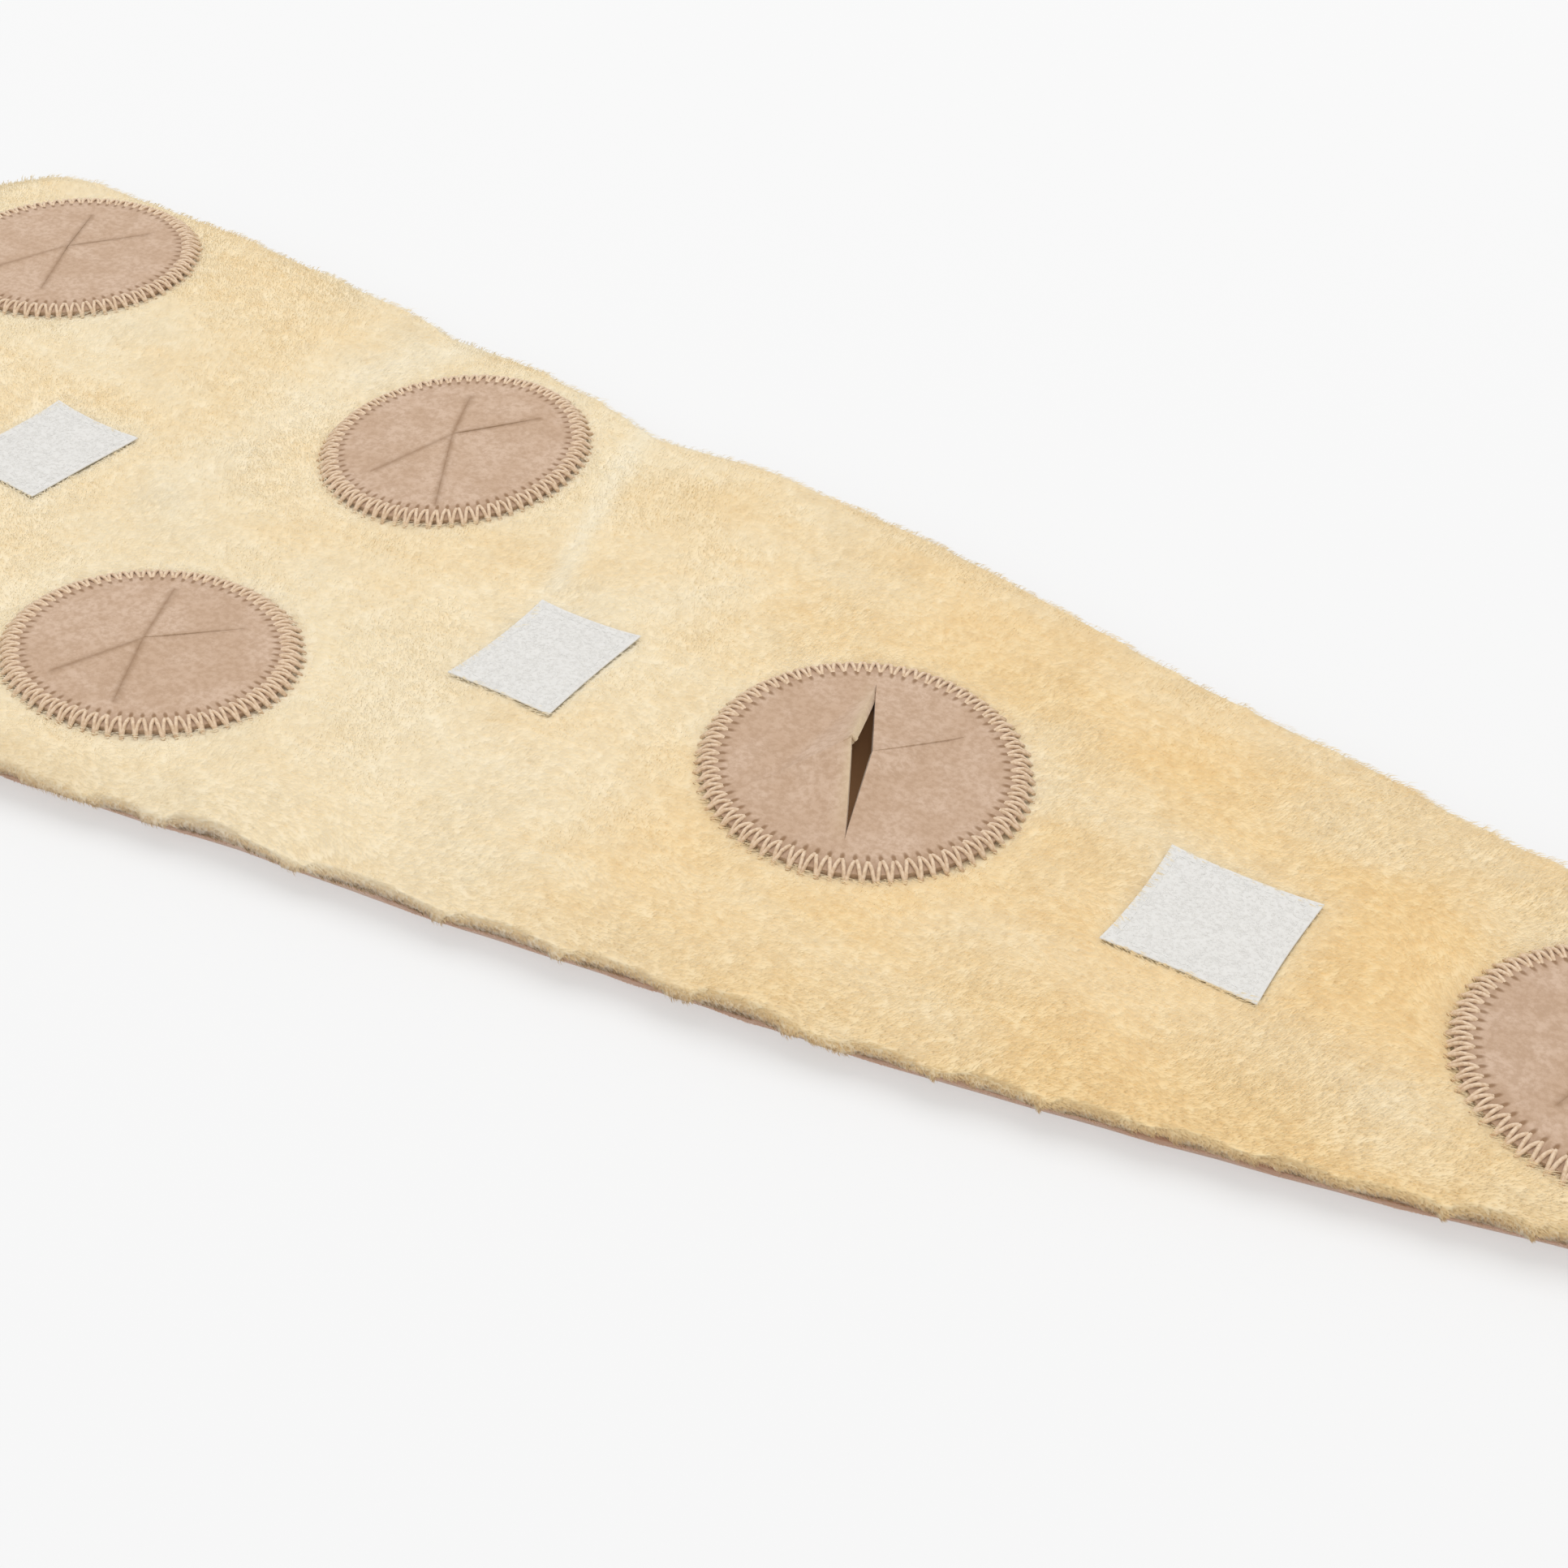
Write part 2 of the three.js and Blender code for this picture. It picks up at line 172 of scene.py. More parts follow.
def mixed(tree, factor, a, b):
    """The colour between a and b at a factor."""
    settings = {"data_type": "RGBA", "clamp_factor": True}
    node = add_node(tree, "ShaderNodeMix", settings, Factor_Float=factor, A_Color=a, B_Color=b)
    return next(output for output in node.outputs if output.type == "RGBA")


def worked_out(tree, operation, a, b=0.0, c=0.0):
    """The result of one sum."""
    settings = {"operation": operation}
    return add_node(tree, "ShaderNodeMath", settings, Value=a, Value_001=b, Value_002=c).outputs[0]


def stepped(tree, value, low, high):
    """A soft step from 0 at low to 1 at high."""
    settings = {"interpolation_type": "SMOOTHSTEP"}
    node = add_node(tree, "ShaderNodeMapRange", settings, Value=value, From_Min=low, From_Max=high)
    return node.outputs[0]


def blotches(tree, size_mm, detail=2.0, rough=0.5, stretch=(1, 1, 1)):
    """Soft random blotches of a real size, from about 0.3 to 0.7."""
    place = add_node(tree, "ShaderNodeTexCoord").outputs["Object"]
    scaled = add_node(tree, "ShaderNodeMapping", Vector=place, Scale=stretch).outputs[0]
    scale = 1 / (size_mm * MM)
    noise = add_node(
        tree, "ShaderNodeTexNoise", Vector=scaled, Scale=scale, Detail=detail, Roughness=rough
    )
    return noise.outputs[0]


def painted(tree, name):
    """The value of a mesh attribute."""
    return add_node(tree, "ShaderNodeAttribute", {"attribute_name": name}).outputs["Fac"]


def bumped(tree, height, strength, depth_mm):
    return add_node(
        tree, "ShaderNodeBump", Height=height, Strength=strength, Distance=depth_mm * MM
    ).outputs[0]


def length_of(tree, x, y):
    """The length of the line that goes x along and y across."""
    line = add_node(tree, "ShaderNodeCombineXYZ", X=x, Y=y).outputs[0]
    return add_node(tree, "ShaderNodeVectorMath", {"operation": "LENGTH"}, Vector=line).outputs[1]


def finish_material(tree, **looks):
    """Ends a material in one surface shader with the looks given."""
    shader = add_node(tree, "ShaderNodeBsdfPrincipled", **looks)
    add_node(tree, "ShaderNodeOutputMaterial", Surface=shader.outputs[0])


# Short-pile plush, polyester velour: a matt nap that light soaks into, butter yellow with
# golden places where the nap lies the other way, paler along creases, with painted light in a
# pale halo round sewn-on pieces, and painted shade at fibre roots, the rim and the stitches.
def plush_material(name, tip_colour, golden_colour, pale_colour, shade_colour, see_through):
    material, tree = new_material(name)
    patches = stepped(tree, blotches(tree, 60, 3, 0.55, (0.6, 1, 1)), 0.38, 0.70)
    fine = stepped(tree, blotches(tree, 12, 3, 0.6, (0.35, 1, 1)), 0.34, 0.72)
    place = add_node(tree, "ShaderNodeTexCoord").outputs["Object"]
    along = add_node(tree, "ShaderNodeSeparateXYZ", Vector=place).outputs[0]
    tipward = stepped(tree, along, -120 * MM, 220 * MM)
    clouded = worked_out(tree, "MULTIPLY_ADD", tipward, 0.35, 0.22)
    gold = worked_out(tree, "MULTIPLY", patches, clouded)
    gold = worked_out(tree, "MULTIPLY_ADD", tipward, 0.34, gold)
    gold = worked_out(tree, "ADD", gold, worked_out(tree, "MULTIPLY_ADD", fine, 0.14, 0.12))
    gold = worked_out(tree, "MULTIPLY_ADD", painted(tree, "tone"), 0.3, gold)
    colour = mixed(tree, gold, from_hex(tip_colour), from_hex(golden_colour))
    # Painted light: a pale halo round the sewn-on pieces; also paler along the creases
    colour = mixed(tree, painted(tree, "pale"), colour, from_hex(pale_colour))
    # Painted shade: darker towards the shade colour at fibre roots, the near rim, needle holes,
    # between stitches, under the rim and in the pocket
    colour = mixed(tree, painted(tree, "root"), colour, from_hex(shade_colour))
    shader = add_node(
        tree, "ShaderNodeBsdfPrincipled", Base_Color=colour, Roughness=0.9,
        Specular_IOR_Level=0.1, Sheen_Weight=0.2, Sheen_Roughness=0.5,
    )
    glow = add_node(tree, "ShaderNodeBsdfTranslucent", Color=colour)
    soaked = add_node(
        tree, "ShaderNodeMixShader", Fac=see_through, Shader=shader.outputs[0],
        Shader_001=glow.outputs[0],
    )
    add_node(tree, "ShaderNodeOutputMaterial", Surface=soaked.outputs[0])
    return material


# Wool-blend felt, needled: matt, with tan and cream fibres of the same lightness mixed all
# through it and a faint fuzz, with painted shade at the needle holes, under the thread and
# along the slits, and paler along the open pocket's slit.
def felt_material(name, mid_colour, dark_colour, light_colour):
    material, tree = new_material(name)
    fibres = stepped(tree, blotches(tree, 1.6, 4, 0.65), 0.38, 0.64)
    clouds = stepped(tree, blotches(tree, 9, 3, 0.6), 0.36, 0.66)
    colour = mixed(tree, clouds, from_hex(mid_colour), from_hex(light_colour))
    fibres = worked_out(tree, "MULTIPLY", fibres, 0.55)
    colour = mixed(tree, fibres, colour, from_hex(dark_colour))
    # Painted shade: dark spots at the inner needle holes and a darker band under the thread
    x, y = painted(tree, "from_middle_x"), painted(tree, "from_middle_y")
    away = length_of(tree, x, y)
    turn = worked_out(tree, "ARCTAN2", y, x)
    turn = worked_out(tree, "MULTIPLY_ADD", turn, STITCHES / (2 * math.pi), 0.5)
    off_hole = worked_out(tree, "SUBTRACT", worked_out(tree, "FRACT", turn), 0.5)
    off_hole = worked_out(tree, "MULTIPLY", off_hole, 2 * math.pi * INNER_HOLES / STITCHES)
    off_ring = worked_out(tree, "SUBTRACT", away, INNER_HOLES + 0.6)
    apart = length_of(tree, off_hole, worked_out(tree, "MULTIPLY", off_ring, 0.42))
    hole = worked_out(tree, "SUBTRACT", 1.0, stepped(tree, apart, 0.25, 0.85))
    thread_shade = stepped(tree, away, INNER_HOLES - 0.4, INNER_HOLES + 1.6)
    thread_shade = worked_out(tree, "MULTIPLY", thread_shade, 0.3)
    dark = worked_out(tree, "MAXIMUM", hole, thread_shade)
    dark = worked_out(tree, "MAXIMUM", dark, painted(tree, "slit"))
    dark = worked_out(tree, "MULTIPLY", dark, 0.75)
    # All this painted shade, with the slits' shade, mixed towards dark brown
    colour = mixed(tree, dark, colour, from_hex("#76532f"))
    # Paler along the open pocket's longer slit
    colour = mixed(tree, painted(tree, "paler_by_open_slit"), colour, from_hex("#cdb997"))
    fuzz = bumped(tree, blotches(tree, 0.9, 4, 0.7), 0.6, 0.3)
    finish_material(
        tree, Base_Color=colour, Roughness=0.95, Specular_IOR_Level=0.1, Sheen_Weight=0.15,
        Sheen_Roughness=0.6, Normal=fuzz,
    )
    return material


# Spun polyester sewing thread: a soft gloss, lighter on its crown, with a fine twist.
def thread_material(name, colour, dark_colour):
    material, tree = new_material(name)
    ply = stepped(tree, blotches(tree, 0.8, 2, 0.5), 0.40, 0.62)
    ply = worked_out(tree, "MULTIPLY", ply, 0.5)
    shade = mixed(tree, ply, from_hex(colour), from_hex(dark_colour))
    twist = bumped(tree, blotches(tree, 0.35, 2, 0.6), 0.5, 0.1)
    finish_material(tree, Base_Color=shade, Roughness=0.48, Sheen_Weight=0.2, Normal=twist)
    return material


# Loop side of hook-and-loop tape, nylon: white, matt, with a brushed mat of tiny loops.
def loop_tape_material(name, colour, shaded_colour):
    material, tree = new_material(name)
    matted = stepped(tree, blotches(tree, 2.2, 4, 0.6), 0.38, 0.64)
    matted = worked_out(tree, "MULTIPLY", matted, 0.5)
    shade = mixed(tree, matted, from_hex(colour), from_hex(shaded_colour))
    loops = bumped(tree, blotches(tree, 0.7, 3, 0.7), 0.4, 0.2)
    finish_material(
        tree, Base_Color=shade, Roughness=0.85, Specular_IOR_Level=0.25, Sheen_Weight=0.2,
        Normal=loops,
    )
    return material


# Matt white board of a light table under the toy: pale, even, and softly lit from below.
def floor_material():
    material, tree = new_material("light_table_board")
    finish_material(
        tree, Base_Color=from_hex("#a9a9a9"), Roughness=0.9, Specular_IOR_Level=0.0,
        Emission_Color=from_hex("#ffffff"), Emission_Strength=0.44,
    )
    return material


def add_object(name, data):
    """A new object in the scene, from its mesh, light or camera data."""
    made = bpy.data.objects.new(name, data)
    bpy.context.scene.collection.objects.link(made)
    return made


def set_up_camera():
    """A camera above the near side, looking down along the toy, tilted a little."""
    aim = Vector((28.8, -14.3, 13.75)) * MM
    distance = 0.5445
    azimuth = math.radians(29.35)
    elevation = math.radians(39.35)
    roll = math.radians(2.29)
    flat = distance * math.cos(elevation)
    place = aim + Vector(
        (flat * math.sin(azimuth), -flat * math.cos(azimuth), distance * math.sin(elevation))
    )
    camera = add_object("camera", bpy.data.cameras.new("camera"))
    camera.data.lens = 55.9
    camera.data.sensor_width = 36
    look = (aim - place).to_track_quat("-Z", "Y").to_matrix().to_4x4()
    camera.matrix_world = Matrix.Translation(place) @ look @ Matrix.Rotation(roll, 4, "Z")
    bpy.context.scene.camera = camera


def add_soft_light(name, place, size, watts):
    light = bpy.data.lights.new(name, "AREA")
    light.size = size
    light.energy = watts
    lamp = add_object(name, light)
    lamp.location = place
    lamp.rotation_euler = (-Vector(place)).to_track_quat("-Z", "Y").to_euler()


def set_up_studio():
    world = bpy.data.worlds.new("studio")
    world.use_nodes = True
    world.node_tree.nodes["Background"].inputs["Color"].default_value = from_hex("#ffffff")
    world.node_tree.nodes["Background"].inputs["Strength"].default_value = 0.78
    bpy.context.scene.world = world
    add_soft_light("softbox_above", (-0.5, 1.3, 2.9), 2.6, 52)
    add_soft_light("softbox_front", (1.0, -2.7, 1.9), 2.8, 25)
    bpy.context.scene.view_settings.view_transform = "Standard"
    mesh = bmesh.new()
    bmesh.ops.create_grid(mesh, x_segments=1, y_segments=1, size=4)
    floor = piece_from("floor", mesh, floor_material())
    floor.location.z = -0.2 * MM


def piece_from(name, mesh, *materials):
    """An object made from a bmesh, smooth shaded."""
    data = bpy.data.meshes.new(name)
    mesh.to_mesh(data)
    mesh.free()
    for face in data.polygons:
        face.use_smooth = True
    for material in materials:
        data.materials.append(material)
    return add_object(name, data)


def piece_from_arrays(name, points, faces, material):
    """An object made from arrays of points and of faces with equal corners, smooth shaded."""
    data = bpy.data.meshes.new(name)
    corners = faces.shape[1]
    data.vertices.add(len(points))
    data.vertices.foreach_set("co", np.ascontiguousarray(points, np.float32).ravel())
    data.loops.add(faces.size)
    data.loops.foreach_set("vertex_index", np.ascontiguousarray(faces, np.int32).ravel())
    data.polygons.add(len(faces))
    data.polygons.foreach_set("loop_start", np.arange(len(faces), dtype=np.int32) * corners)
    data.polygons.foreach_set("use_smooth", np.ones(len(faces), bool))
    data.update(calc_edges=True)
    data.materials.append(material)
    return add_object(name, data)


def paint(piece, name, values):
    """Keeps one value for each point of a piece, for its material to read."""
    attribute = piece.data.attributes.new(name, "FLOAT", "POINT")
    attribute.data.foreach_set("value", np.ascontiguousarray(values, np.float32))


def points_of(data):
    flat = np.empty(len(data.vertices) * 3, np.float32)
    data.vertices.foreach_get("co", flat)
    return flat.reshape(-1, 3).astype(float)


def normals_of(data):
    normals = np.empty(len(data.vertices) * 3, np.float32)
    data.vertex_normals.foreach_get("vector", normals)
    return normals.reshape(-1, 3)


def set_points(data, points):
    data.vertices.foreach_set("co", np.ascontiguousarray(points, np.float32).ravel())
    data.update()


def shaped(piece):
    """Gives a piece its modifiers' final shape, smooth shaded."""
    bpy.context.view_layer.update()
    graph = bpy.context.evaluated_depsgraph_get()
    final = bpy.data.meshes.new_from_object(piece.evaluated_get(graph), depsgraph=graph)
    piece.modifiers.clear()
    piece.data = final
    for face in final.polygons:
        face.use_smooth = True


def soften_edges(piece, width_mm):
    """Rounds the cut edges of a sheet a little."""
    soft = piece.modifiers.new("soft edge", "BEVEL")
    soft.width = width_mm * MM
    soft.segments = 2
    soft.limit_method = "ANGLE"
    soft.angle_limit = math.radians(50)


def swirl(x, y, size_mm, seed, waves=7):
    """A smooth random field over the toy, about -1 to 1, with features of a real size."""
    dice = np.random.default_rng(seed)
    total = np.zeros_like(x)
    for _ in range(waves):
        heading = dice.uniform(0, 2 * math.pi)
        length = size_mm * MM * dice.uniform(1.3, 2.8)
        shift = dice.uniform(0, 2 * math.pi)
        ahead = x * math.cos(heading) + y * math.sin(heading)
        total += np.sin(ahead * 2 * math.pi / length + shift)
    return total / (waves * 0.5) ** 0.5 / 1.4


for sewn_on in DISCS + SQUARES:
    low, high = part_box(sewn_on["name"])
    sewn_on["middle"] = (low + high) / 2
    sewn_on["half"] = (high - low) / 2
    sewn_on["radius"] = (sewn_on["half"].x + sewn_on["half"].y) / 2


def in_round(disc, x, y):
    """A place seen from the middle of a disc, with the disc drawn back to a true circle."""
    centre, half, radius = disc["middle"], disc["half"], disc["radius"]
    return (x - centre.x) * radius / half.x, (y - centre.y) * radius / half.y


def out_of_round(disc, x, y):
    """The place that in_round takes to x, y."""
    centre, half, radius = disc["middle"], disc["half"], disc["radius"]
    return centre.x + x * half.x / radius, centre.y + y * half.y / radius


def from_disc(disc, x, y):
    """Distance from the middle of a disc, with the disc drawn back to a true circle."""
    return np.hypot(*in_round(disc, x, y))


def from_square(square, x, y):
    """Distance outside the sides of a square of tape, below zero inside it."""
    centre = square["middle"]
    turn = math.radians(square["turn"])
    along = (x - centre.x) * math.cos(turn) + (y - centre.y) * math.sin(turn)
    across = (y - centre.y) * math.cos(turn) - (x - centre.x) * math.sin(turn)
    outside_along = np.abs(along) - square["along"] / 2 * MM
    outside_across = np.abs(across) - square["across"] / 2 * MM
    return np.maximum(outside_along, outside_across)


def padded_body(material):
    """The face panel over its padding: the cloth swells between what is sewn to it."""
    mesh = bmesh.new()
    mesh.from_mesh(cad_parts["face_panel"].data)
    bmesh.ops.remove_doubles(mesh, verts=mesh.verts, dist=1e-6)
    bmesh.ops.recalc_face_normals(mesh, faces=mesh.faces)
    mesh.normal_update()
    for point in mesh.verts:
        if point.co.z > FLAT_BELOW * MM:
            facing_up = abs(point.normal.z)
            point.co += point.normal * ((1 - facing_up) * 0.9 - facing_up * PILE * 0.6) * MM
    skin = BVHTree.FromBMesh(mesh)
    body = piece_from("plush_body", mesh, material)
    remesh = body.modifiers.new("remesh", "REMESH")
    remesh.mode = "VOXEL"
    remesh.voxel_size = VOXEL * MM
    remesh.use_smooth_shade = True
    shaped(body)
    on_skin = [skin.find_nearest(Vector(point))[0] for point in points_of(body.data)]
    set_points(body.data, np.array(on_skin))
    puff_up(body)
    smooth = bmesh.new()
    smooth.from_mesh(body.data)
    for _ in range(2):
        bmesh.ops.smooth_vert(
            smooth, verts=smooth.verts, factor=0.5, use_axis_x=True, use_axis_y=True,
            use_axis_z=True,
        )
    smooth.to_mesh(body.data)
    smooth.free()
    body.modifiers.new("rounding", "SUBSURF").levels = 1
    shaped(body)
    even_the_rim(body, skin)
    return body


def even_the_rim(body, skin):
    """Lays the cloth of the rolled rim back on the smooth skin that it was remeshed from."""
    points = points_of(body.data)
    upright = np.abs(normals_of(body.data)[:, 2])
    share = np.clip((0.9 - upright) / 0.4, 0, 1)
    share *= np.clip((points[:, 2] - FLAT_BELOW * MM) / (0.5 * MM), 0, 1)
    for number in np.nonzero(share)[0]:
        on_skin = skin.find_nearest(Vector(points[number]))[0]
        points[number] += share[number] * (np.array(on_skin) - points[number])
    set_points(body.data, points)


def held_down(points):
    """Where stitching or the back panel holds the cloth, from 0 to 1."""
    x, y, z = points.T
    held = (z < FLAT_BELOW * MM).astype(float)
    for disc in DISCS:
        held = np.maximum(held, from_disc(disc, x, y) < disc["radius"] + 1.5 * MM)
    for square in SQUARES:
        held = np.maximum(held, from_square(square, x, y) < 1 * MM)
    return held


def puff_up(body):
    """Blows the cloth up with Blender's cloth simulation, and keeps a limited share of it."""
    start = points_of(body.data)
    held = held_down(start)
    group = body.vertex_groups.new(name="sewn")
    group.add([int(i) for i in np.nonzero(held)[0]], 1.0, "REPLACE")
    cloth = body.modifiers.new("cloth", "CLOTH")
    cloth.settings.vertex_group_mass = "sewn"
    cloth.settings.use_pressure = True
    cloth.settings.uniform_pressure_force = 4
    cloth.settings.effector_weights.gravity = 0
    cloth.settings.quality = 5
    cloth.point_cache.frame_start = 1
    cloth.point_cache.frame_end = PUFF_STEPS
    scene = bpy.context.scene
    for step in range(1, PUFF_STEPS + 1):
        scene.frame_set(step)
    graph = bpy.context.evaluated_depsgraph_get()
    blown = points_of(body.evaluated_get(graph).data)
    body.modifiers.clear()
    body.vertex_groups.clear()
    scene.frame_set(1)
    move = blown - start
    length = np.linalg.norm(move, axis=1)
    cap = PUFF_CAP * MM
    allowed = cap * np.tanh(length / cap)
    set_points(body.data, start + move * (allowed / np.maximum(length, 1e-9))[:, None])


def fitted_bed(points, near):
    """A smooth surface through the cloth around a sewn-on piece, as six numbers."""
    x, y, z = points[near].T
    level = np.median(z)
    keep = z > level - 1.5 * MM
    x, y, z = x[keep], y[keep], z[keep]
    terms = np.stack([np.ones_like(x), x, y, x * x, x * y, y * y], axis=1)
    return np.linalg.lstsq(terms, z, rcond=None)[0]


def bed_height(bed, x, y):
    """Height at a place of the surface that fitted_bed found."""
    return bed[0] + bed[1] * x + bed[2] * y + bed[3] * x * x + bed[4] * x * y + bed[5] * y * y


def settle_body(body):
    """Adds what sewing and use do to the cloth, and returns the bed of each sewn-on piece."""
    points = points_of(body.data)
    x, y, z = points.T.copy()
    top = z > TOP_ABOVE * MM
    beds = {}
    for disc in DISCS:
        radius = disc["radius"]
        away = from_disc(disc, x, y)
        bed = fitted_bed(points, top & (away < radius + 2 * MM))
        beds[disc["name"]] = bed
        under = top & (away < radius - 0.5 * MM)
        z[under] = np.minimum(z[under], bed_height(bed, x[under], y[under]) - SUNK * MM)
        trough = 0.35 * MM * np.exp(-(((away - radius - 1.5 * MM) / (2.2 * MM)) ** 2))
        z[top] -= trough[top]
    for square in SQUARES:
        away = from_square(square, x, y)
        bed = fitted_bed(points, top & (away < 2 * MM))
        beds[square["name"]] = bed
        under = top & (away < 0)
        z[under] = np.minimum(z[under], bed_height(bed, x[under], y[under]) - SUNK * MM)
    free = np.clip((points[:, 2] - FLAT_BELOW * MM) / (4 * MM), 0, 1)
    for disc in DISCS:
        away = from_disc(disc, x, y) - disc["radius"]
        free = free * np.clip(away / (6 * MM), 0, 1)
    for square in SQUARES:
        free = free * np.clip(from_square(square, x, y) / (6 * MM), 0, 1)
    z += free * (0.4 * MM * swirl(x, y, 26, 3) + 0.1 * MM * swirl(x, y, 9, 4, 11))
    set_points(body.data, np.stack([x, y, z], axis=1))
    return beds


def place_in_flap(disc, x, y):
    """Which of the four flaps a place is in, and the directions of the cuts beside it."""
    rays = disc["rays"]
    angle = math.degrees(math.atan2(y, x)) % 360
    for flap in range(3):
        if rays[flap] <= angle < rays[flap + 1]:
            return flap, rays[flap], rays[flap + 1]
    return 3, rays[3], rays[0] + 360


def felt_disc(disc, bed, materials):
    """A felt disc with two crossed slits, its edge pressed down by the stitching."""
    name, centre, radius = disc["name"], disc["middle"], disc["radius"]
    rings = 26
    mesh = bmesh.new()
    spoke = [mesh.verts.new((radius * k / rings, 0, 0)) for k in range(rings + 1)]
    edges = [mesh.edges.new(pair) for pair in zip(spoke, spoke[1:])]
    bmesh.ops.spin(
        mesh, geom=spoke + edges, cent=(0, 0, 0), axis=(0, 0, 1), angle=2 * math.pi,
        steps=4 * rings, use_merge=True,
    )
    bmesh.ops.remove_doubles(mesh, verts=mesh.verts, dist=1e-7)
    drawn = (disc["half"].x / radius, disc["half"].y / radius, 1)
    bmesh.ops.scale(mesh, vec=drawn, verts=mesh.verts)
    crossing = Vector((disc["off"][0], disc["off"][1], 0)) * MM
    turns = [math.radians(ray) for ray in disc["rays"]]
    ahead = [Vector((math.cos(turn), math.sin(turn), 0)) for turn in turns]
    aside = [Vector((-math.sin(turn), math.cos(turn), 0)) for turn in turns]
    for across in aside:
        bmesh.ops.bisect_plane(
            mesh, geom=mesh.verts[:] + mesh.edges[:] + mesh.faces[:], dist=2e-5,
            plane_co=crossing, plane_no=across,
        )
    open_edges = []
    for edge in mesh.edges:
        ends = [point.co - crossing for point in edge.verts]
        arm = opened(disc, (ends[0] + ends[1]) / 2)
        for ray in range(4):
            on_line = all(abs(end.dot(aside[ray])) < 3e-5 for end in ends)
            if on_line and 0 < arm.dot(ahead[ray]) < disc["cuts"][ray] * MM:
                open_edges.append(edge)
                break
    bmesh.ops.split_edges(mesh, edges=open_edges)
    mesh.faces.ensure_lookup_table()
    if mesh.faces[0].normal.z < 0:
        bmesh.ops.reverse_faces(mesh, faces=mesh.faces)
    beside = [point.link_faces[0].calc_center_median() - crossing for point in mesh.verts]
    for point, inside in zip(mesh.verts, beside):
        lay_felt_point(disc, bed, crossing, point, inside)
    felt = piece_from(name + "_felt", mesh, *materials)
    thick = felt.modifiers.new("thickness", "SOLIDIFY")
    thick.thickness = FELT * MM
    thick.offset = -1
    thick.material_offset_rim = 1
    soften_edges(felt, 0.3)
    shaped(felt)
    felt.data.validate()
    points = points_of(felt.data)
    x, y = in_round(disc, points[:, 0], points[:, 1])
    to_holes = INNER_HOLES / (radius - STITCH_IN * MM)
    paint(felt, "from_middle_x", x * to_holes)
    paint(felt, "from_middle_y", y * to_holes)
    x, y = points[:, 0] - centre.x, points[:, 1] - centre.y
    paint(felt, "slit", slit_edge(disc, x, y))
    paint(felt, "paler_by_open_slit", pale_along_open_slit(disc, x, y))
    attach(felt, "root")
    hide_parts(name)
    return felt


def opened(disc, arm):
    """A place seen from the crossing, drawn in where the open pocket's slit is longer."""
    if disc["lift"] == 0:
        return arm
    steep = math.radians(disc["rays"][1])
    ahead = Vector((math.cos(steep), math.sin(steep), 0))
    return arm - ahead * arm.dot(ahead) * (1 - 1 / STRETCHED)


def lay_felt_point(disc, bed, crossing, point, inside):
    """Puts one point of a flat disc where the felt lies, a flap's point where the flap is bent."""
    centre = disc["middle"]
    radius = disc["radius"]
    flap, start, end = place_in_flap(disc, inside.x, inside.y)
    bisector = math.radians(start + end) / 2
    half = math.radians(end - start) / 2
    arm = opened(disc, point.co - crossing)
    angle = math.atan2(arm.y, arm.x) if arm.length > 1e-6 else bisector
    beside = flap if math.sin(angle - bisector) < 0 else (flap + 1) % 4
    reach = arm.length / (disc["cuts"][beside] * MM)
    turned = math.cos(angle - bisector)
    fold_at = SLIT / 2 * MM * math.cos(half) / max(turned, 0.05)
    bent = max(0.0, 1 - arm.length / fold_at)
    bent = math.sqrt(bent * bent + 0.0036) - 0.06
    edge_distance = abs(arm.length * math.sin(half - abs(angle - bisector)))
    lifted = disc["lift"] > 0 and flap in (1, 2)
    apart = 0.03 * MM / math.sin(half) * max(0.0, 1 - reach**5)
    aside = 0.0
    if disc["lift"] > 0:
        aside = bent * (-DRAW_BACK if lifted else PUSH_ASIDE) * MM
    sideways = math.radians(disc["rays"][1] - 90)
    x = centre.x + point.co.x + apart * math.cos(bisector) + aside * math.cos(sideways)
    y = centre.y + point.co.y + apart * math.sin(bisector) + aside * math.sin(sideways)
    lip = (0.12 + 0.16 * ((flap * 7 + disc["rays"][1]) % 3)) * MM
    lip *= max(0.0, 1 - reach) * math.exp(-edge_distance / (3 * MM))
    if lifted:
        lip += curled_edge(disc, flap, angle, edge_distance, reach)
    away = from_disc(disc, centre.x + point.co.x, centre.y + point.co.y)
    lift = disc["lift"] * bent * MM * (1.0 if lifted else 0.45)
    z = bed_height(bed, x, y) + (FELT + AIR) * MM + lift + lip - pressed_down(away - radius)
    point.co = (x, y, z)


def pressed_down(outside):
    """How far stitching presses felt down at a distance outside its edge, below zero inside."""
    return EDGE_PRESSED * MM * np.clip(outside / (EDGE_BAND * MM) + 1, 0, 1) ** 2


def pale_along_open_slit(disc, x, y):
    """How pale the felt is along the open pocket's longer slit."""
    if disc["lift"] == 0:
        return np.zeros_like(x)
    steep = math.radians(disc["rays"][1])
    x = x - disc["off"][0] * MM
    y = y - disc["off"][1] * MM
    along = x * math.cos(steep) + y * math.sin(steep)
    aside = x * math.sin(steep) - y * math.cos(steep) + 0.3 * DRAW_BACK * MM
    near_slit = np.exp(-((aside / (2.2 * MM)) ** 2)) * (aside < 0.6 * MM)
    return 0.75 * near_slit * np.clip(1.2 - np.abs(along) / (SLIT / 2 * MM), 0, 1)


